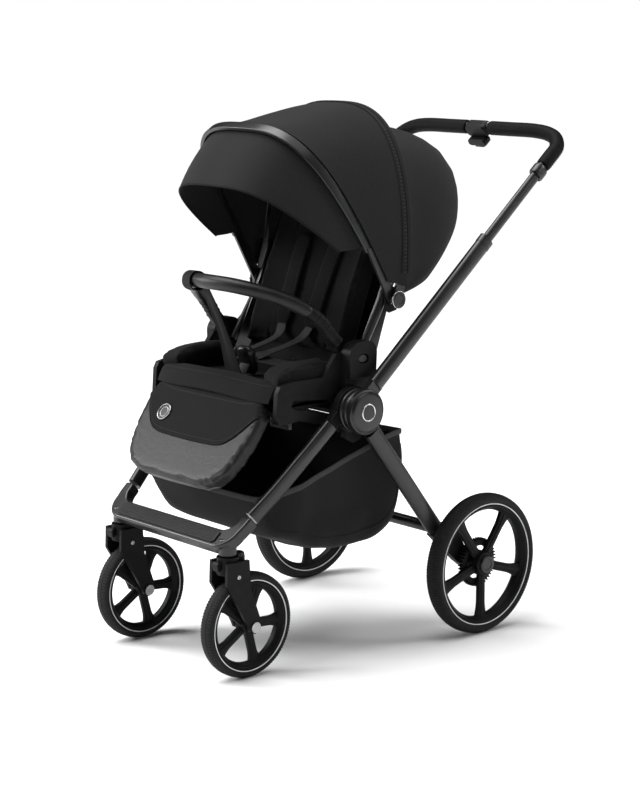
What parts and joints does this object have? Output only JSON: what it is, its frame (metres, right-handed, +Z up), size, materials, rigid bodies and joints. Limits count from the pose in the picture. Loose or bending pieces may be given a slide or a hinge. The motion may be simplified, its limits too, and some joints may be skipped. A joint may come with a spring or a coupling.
{
  "type": "baby stroller",
  "caption": "Four-wheel pushchair with a folding tube chassis, telescopic push bar, reclining seat, legrest, bumper bar, folding canopy and a fabric basket.",
  "frame": {"origin": "on the ground, at the centre of the bounding box", "axes": "+Z up, -Y towards the front casters, +X towards the right side seen from behind"},
  "size_m": [0.592, 0.9402, 1.1037],
  "materials": {
    "tyre": "matt rubber with fine tread",
    "wheel_plastic": "satin moulded",
    "hardware": "satin",
    "cap_plastic": "satin",
    "frame_plastic": "fine moulded grain",
    "frame_metal": "satin black powder coat",
    "hub_plastic": "semi-gloss with a plain silver ring",
    "button_plastic": "satin",
    "leather": "soft grain, stitched",
    "tread_rubber": "matt",
    "webbing": "woven webbing",
    "seat_fabric": "fine weave",
    "canopy_fabric": "fine weave",
    "basket_fabric": "coarse weave",
    "bow_metal": "satin black"
  },
  "bodies": {
    "chassis": {"front_tube_right": "frame_metal", "front_tube_left": "frame_metal", "hub_housing_right": "frame_plastic", "hub_housing_left": "frame_plastic", "hub_cap_right": "hub_plastic", "hub_cap_left": "hub_plastic", "seat_adapter_right": "frame_plastic", "seat_adapter_left": "frame_plastic", "front_crossbar": "frame_plastic", "footrest_pad": "tread_rubber", "seat_frame": "frame_plastic", "seat_cushion": "seat_fabric", "crotch_buckle": "button_plastic", "basket": "basket_fabric"},
    "rear_frame": {"rear_leg_right": "frame_metal", "rear_leg_left": "frame_metal", "axle_block_right": "frame_plastic", "axle_block_left": "frame_plastic", "rear_axle_right": "cap_plastic", "rear_axle_left": "cap_plastic", "rear_cross_tube": "frame_metal"},
    "brake": {"brake_pedal": "frame_plastic"},
    "handle": {"upper_tube_right": "frame_metal", "upper_tube_left": "frame_metal"},
    "push_bar": {"push_bar": "frame_metal", "grip_right": "leather", "grip_left": "leather", "handle_console": "frame_plastic"},
    "fold_button": {"handle_button": "button_plastic"},
    "legrest": {"legrest_pad": "seat_fabric"},
    "recline_lever": {"legrest_lever": "frame_plastic"},
    "bumper": {"bumper_bar": "leather", "bumper_strap": "seat_fabric"},
    "backrest": {"back_frame": "frame_metal", "backrest_pad": "seat_fabric", "canopy_hinge_right": "frame_plastic", "canopy_hinge_left": "frame_plastic", "harness_right": "webbing", "harness_left": "webbing"},
    "canopy_mid": {"canopy_bow_mid": "bow_metal", "canopy_rear_panel": "canopy_fabric"},
    "canopy_front": {"canopy_bow_front": "bow_metal", "canopy_front_panel": "canopy_fabric", "canopy_visor": "canopy_fabric"},
    "caster_right": {"caster_fork_right": "frame_plastic", "front_axle_right": "hardware"},
    "caster_lock_right": {"caster_lock_right": "frame_plastic"},
    "front_wheel_right": {"front_tyre_right": "tyre", "front_rim_right": "wheel_plastic"},
    "rear_wheel_right": {"rear_tyre_right": "tyre", "rear_rim_right": "wheel_plastic"},
    "adapter_button_right": {"adapter_button_right": "button_plastic"},
    "caster_left": {"caster_fork_left": "frame_plastic", "front_axle_left": "hardware"},
    "caster_lock_left": {"caster_lock_left": "frame_plastic"},
    "front_wheel_left": {"front_tyre_left": "tyre", "front_rim_left": "wheel_plastic"},
    "rear_wheel_left": {"rear_tyre_left": "tyre", "rear_rim_left": "wheel_plastic"},
    "adapter_button_left": {"adapter_button_left": "button_plastic"}
  },
  "joints": [
    {"name": "caster_swivel_right", "type": "hinge", "parent": "chassis", "child": "caster_right", "pos_m": [0.172, -0.409, 0.23], "axis": [0, 0, 1], "continuous": true},
    {"name": "caster_lock_right", "type": "hinge", "parent": "caster_right", "child": "caster_lock_right", "pos_m": [0.172, -0.434, 0.227], "axis": [1, 0, 0], "range_deg": [0, 18]},
    {"name": "front_wheel_spin_right", "type": "hinge", "parent": "caster_right", "child": "front_wheel_right", "pos_m": [0.172, -0.364, 0.106], "axis": [1, 0, 0], "continuous": true},
    {"name": "rear_wheel_spin_right", "type": "hinge", "parent": "rear_frame", "child": "rear_wheel_right", "pos_m": [0.276, 0.189, 0.149], "axis": [1, 0, 0], "continuous": true},
    {"name": "adapter_button_press_right", "type": "slide", "parent": "chassis", "child": "adapter_button_right", "axis": [-1, 0, 0], "range_m": [0, 0.003], "stiffness_N_per_m": 400},
    {"name": "caster_swivel_left", "type": "hinge", "parent": "chassis", "child": "caster_left", "pos_m": [-0.172, -0.409, 0.23], "axis": [0, 0, 1], "continuous": true},
    {"name": "caster_lock_left", "type": "hinge", "parent": "caster_left", "child": "caster_lock_left", "pos_m": [-0.172, -0.434, 0.227], "axis": [1, 0, 0], "range_deg": [0, 18]},
    {"name": "front_wheel_spin_left", "type": "hinge", "parent": "caster_left", "child": "front_wheel_left", "pos_m": [-0.172, -0.364, 0.106], "axis": [1, 0, 0], "continuous": true},
    {"name": "rear_wheel_spin_left", "type": "hinge", "parent": "rear_frame", "child": "rear_wheel_left", "pos_m": [-0.276, 0.189, 0.149], "axis": [1, 0, 0], "continuous": true},
    {"name": "adapter_button_press_left", "type": "slide", "parent": "chassis", "child": "adapter_button_left", "axis": [1, 0, 0], "range_m": [0, 0.003], "stiffness_N_per_m": 400},
    {"name": "handle_fold", "type": "hinge", "parent": "chassis", "child": "handle", "pos_m": [0, -0.131, 0.512], "axis": [1, 0, 0], "range_deg": [0, 165]},
    {"name": "rear_leg_fold", "type": "hinge", "parent": "chassis", "child": "rear_frame", "pos_m": [0, -0.131, 0.512], "axis": [1, 0, 0], "range_deg": [-49.5, 0]},
    {"name": "push_bar_slide", "type": "slide", "parent": "handle", "child": "push_bar", "axis": [0, 0.7627, 0.6468], "range_m": [-0.1, 0.03]},
    {"name": "fold_button_press", "type": "slide", "parent": "push_bar", "child": "fold_button", "axis": [0, -0.6468, 0.7627], "range_m": [0, 0.003], "stiffness_N_per_m": 400},
    {"name": "brake_pedal_press", "type": "hinge", "parent": "rear_frame", "child": "brake", "pos_m": [0, 0.112, 0.229], "axis": [-1, 0, 0], "range_deg": [0, 14]},
    {"name": "backrest_recline", "type": "hinge", "parent": "chassis", "child": "backrest", "pos_m": [0, -0.104, 0.566], "axis": [-1, 0, 0], "range_deg": [0, 45]},
    {"name": "canopy_fold", "type": "hinge", "parent": "backrest", "child": "canopy_mid", "pos_m": [0, -0.004, 0.718], "axis": [-1, 0, 0], "range_deg": [0, 40], "deforming": ["canopy_rear_panel"]},
    {"name": "canopy_front_fold", "type": "hinge", "parent": "canopy_mid", "child": "canopy_front", "pos_m": [0, -0.004, 0.718], "axis": [-1, 0, 0], "range_deg": [0, 24.8], "deforming": ["canopy_front_panel"]},
    {"name": "legrest_tilt", "type": "hinge", "parent": "chassis", "child": "legrest", "pos_m": [0, -0.292, 0.525], "axis": [-1, 0, 0], "range_deg": [-12, 48]},
    {"name": "recline_lever_pull", "type": "hinge", "parent": "chassis", "child": "recline_lever", "pos_m": [0.13, -0.236, 0.502], "axis": [-1, 0, 0], "range_deg": [0, 20]},
    {"name": "bumper_swing", "type": "hinge", "parent": "chassis", "child": "bumper", "pos_m": [0, -0.133, 0.61], "axis": [1, 0, 0], "range_deg": [-28, 16], "deforming": ["bumper_strap"]}
  ],
  "couplings": [
    {"joint": "rear_leg_fold", "follows": "handle_fold", "ratio": -0.3},
    {"joint": "canopy_front_fold", "follows": "canopy_fold", "ratio": 0.62}
  ]
}
